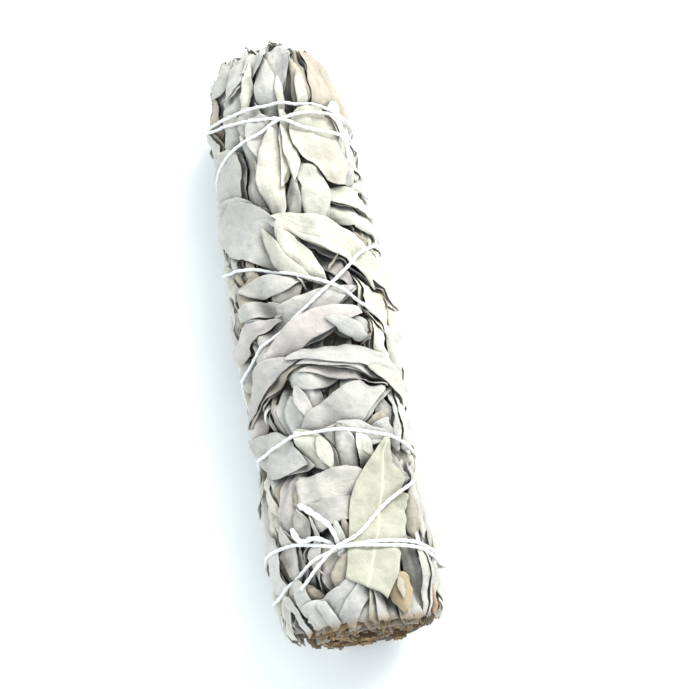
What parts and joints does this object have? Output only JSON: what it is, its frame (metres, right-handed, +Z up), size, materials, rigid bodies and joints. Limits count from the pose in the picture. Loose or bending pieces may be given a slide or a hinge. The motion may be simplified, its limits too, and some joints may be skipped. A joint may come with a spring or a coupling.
{
  "type": "sage bunch",
  "caption": "Dried white sage leaves and stems pressed into a short rounded bundle and bound crosswise with cotton twine, lying on its side.",
  "frame": {"origin": "on the surface the bunch lies on, under the middle of its bounding box", "axes": "+Y along the bunch from the cut stem ends to the leaf tips, +Z up, +X to the right when looking from the cut end towards the tips"},
  "size_m": [0.0426, 0.1801, 0.0404],
  "materials": {
    "grey_leaves": "matt, downy dried leaf",
    "cream_leaves": "matt, downy dried leaf",
    "green_leaf": "matt, downy dried leaf",
    "inner_leaves": "matt, pressed dried leaves",
    "cut_stems": "matt, freshly cut woody stem",
    "twig_bark": "matt bark",
    "cotton_twine": "matt twisted cotton"
  },
  "bodies": {
    "root": {"green_leaf": "green_leaf", "left_flank_leaf_1": "grey_leaves", "left_flank_leaf_2": "grey_leaves", "left_flank_leaf_3": "grey_leaves", "left_flank_leaf_4": "grey_leaves", "lower_leaf_1": "grey_leaves", "lower_leaf_2": "grey_leaves", "lower_leaf_3": "grey_leaves", "lower_leaf_4": "grey_leaves", "lower_leaf_5": "grey_leaves", "lower_leaf_6": "grey_leaves", "lower_leaf_7": "grey_leaves", "lower_leaf_8": "grey_leaves", "right_flank_leaf_1": "grey_leaves", "right_flank_leaf_2": "grey_leaves", "right_flank_leaf_3": "grey_leaves", "right_flank_leaf_4": "grey_leaves", "shoulder_leaf_1": "cream_leaves", "shoulder_leaf_2": "cream_leaves", "sprig_leaves_1": "inner_leaves", "sprig_leaves_2": "inner_leaves", "sprig_leaves_3": "inner_leaves", "sprig_leaves_4": "inner_leaves", "sprig_leaves_5": "inner_leaves", "sprig_leaves_6": "inner_leaves", "stem_1": "cut_stems", "stem_2": "cut_stems", "stem_3": "cut_stems", "stem_4": "cut_stems", "stem_5": "cut_stems", "stem_6": "cut_stems", "stem_7": "cut_stems", "tip_leaf_1": "cream_leaves", "tip_leaf_2": "cream_leaves", "tip_leaf_3": "cream_leaves", "tip_leaf_4": "cream_leaves", "tip_leaf_5": "cream_leaves", "twig": "twig_bark", "twine": "cotton_twine", "underside_leaf_1": "grey_leaves", "underside_leaf_2": "grey_leaves", "underside_leaf_3": "grey_leaves", "underside_leaf_4": "grey_leaves", "underside_leaf_5": "grey_leaves", "upper_leaf_1": "cream_leaves", "upper_leaf_2": "cream_leaves", "upper_leaf_3": "cream_leaves", "upper_leaf_4": "cream_leaves", "upper_leaf_5": "cream_leaves", "upper_leaf_6": "cream_leaves", "waist_leaf_1": "grey_leaves", "waist_leaf_2": "grey_leaves", "waist_leaf_3": "grey_leaves", "waist_leaf_4": "grey_leaves", "waist_leaf_5": "grey_leaves", "waist_leaf_6": "grey_leaves", "waist_leaf_7": "grey_leaves", "waist_leaf_8": "grey_leaves", "waist_leaf_9": "grey_leaves"}
  },
  "joints": []
}
